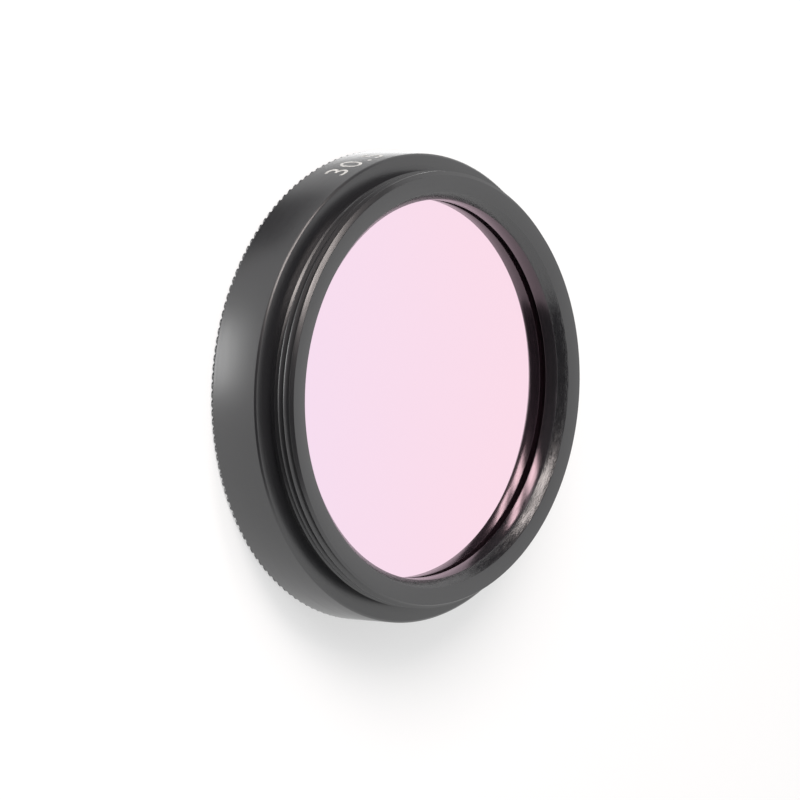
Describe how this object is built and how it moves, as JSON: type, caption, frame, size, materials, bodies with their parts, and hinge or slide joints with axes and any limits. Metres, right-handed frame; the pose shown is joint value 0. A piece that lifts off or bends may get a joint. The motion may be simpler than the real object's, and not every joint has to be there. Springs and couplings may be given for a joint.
{
  "type": "optical bandpass filter",
  "caption": "Round optical filter in a turned black cell, with a male filter thread in front, a matching thread behind and a coin-edged rear rim.",
  "frame": {"origin": "centre of the rear face, on the optical axis", "axes": "+Z along the optical axis towards the male thread; X and Y across the glass"},
  "size_m": [0.0328, 0.0328, 0.0065],
  "materials": {
    "anodised_cell": "black anodised, satin, turned",
    "coated_glass": "polished, with a pale pink reflecting interference coating",
    "anodised_ring": "black anodised, matt, turned"
  },
  "bodies": {
    "root": {"cell_body": "anodised_cell", "filter_glass": "coated_glass", "retaining_ring": "anodised_ring"}
  },
  "joints": []
}
